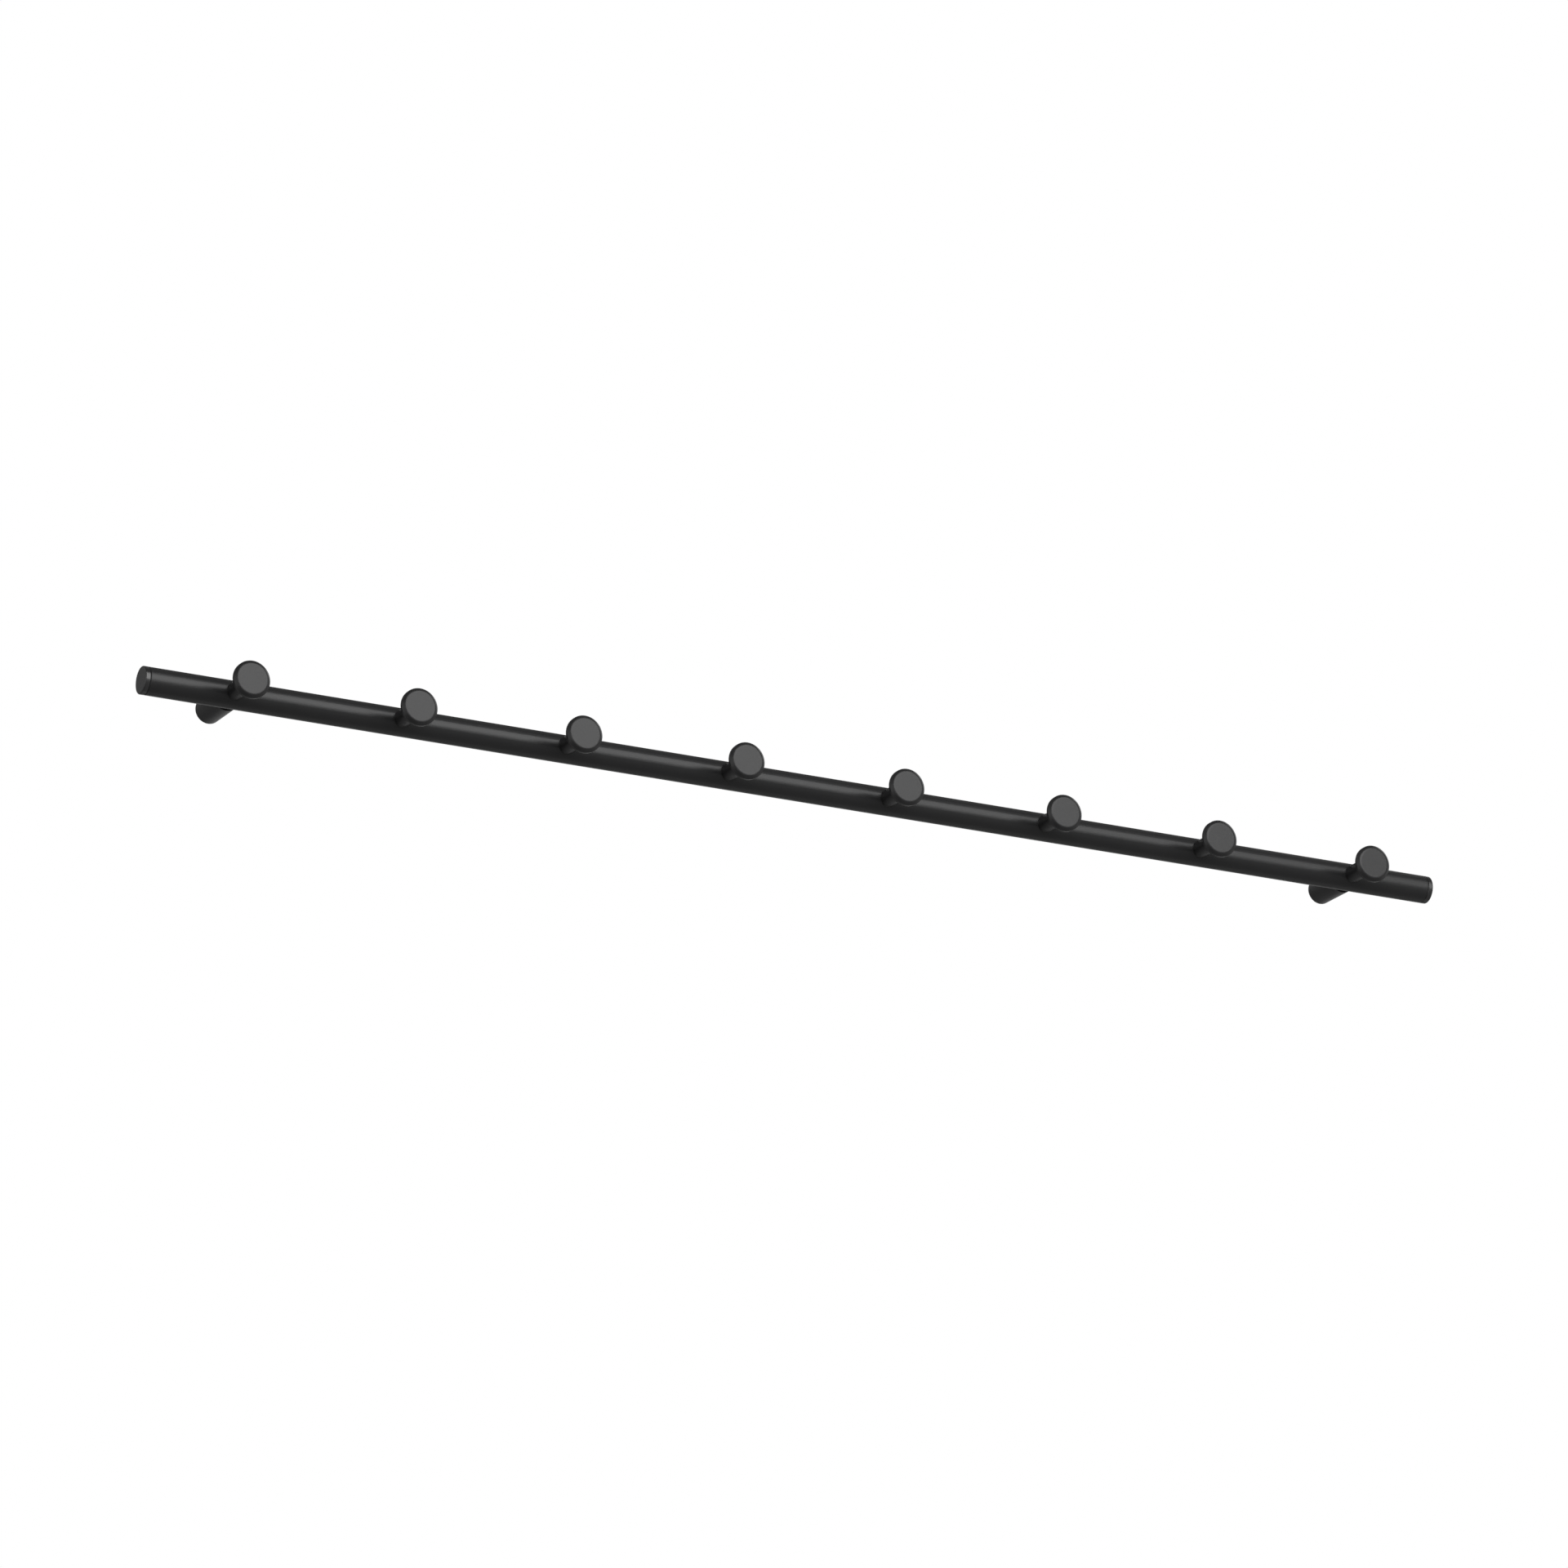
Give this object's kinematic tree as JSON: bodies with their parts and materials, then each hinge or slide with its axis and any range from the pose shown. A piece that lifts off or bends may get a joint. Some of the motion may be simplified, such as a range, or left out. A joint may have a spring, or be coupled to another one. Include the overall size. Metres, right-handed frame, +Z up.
{
  "type": "coat rail",
  "caption": "Wall coat rail: a matte black round tube with a row of mushroom knobs on its front, plugged ends, and round posts with concealed fixings that hold it off the wall.",
  "frame": {"origin": "on the wall plane, midway between the two wall screw holes, level with the tube's axis", "axes": "+X along the rail, +Y into the wall, +Z up; the knobs point out along -Y"},
  "size_m": [1.008, 0.0825, 0.027],
  "materials": {
    "black_powder_coat": "matte black powder coat with a very fine grain",
    "black_plug": "moulded black plug, satin",
    "zinc_plated_steel": "bright zinc plate on turned steel",
    "black_oxide_steel": "black oxide"
  },
  "bodies": {
    "root": {"end_cap_left": "black_plug", "end_cap_right": "black_plug", "grub_screws": "black_oxide_steel", "knob_1": "black_powder_coat", "knob_2": "black_powder_coat", "knob_3": "black_powder_coat", "knob_4": "black_powder_coat", "knob_5": "black_powder_coat", "knob_6": "black_powder_coat", "knob_7": "black_powder_coat", "knob_8": "black_powder_coat", "knob_screws": "zinc_plated_steel", "post_screws": "zinc_plated_steel", "rail_tube": "black_powder_coat", "wall_boss_left": "zinc_plated_steel", "wall_boss_right": "zinc_plated_steel", "wall_post_left": "black_powder_coat", "wall_post_right": "black_powder_coat"}
  },
  "joints": []
}
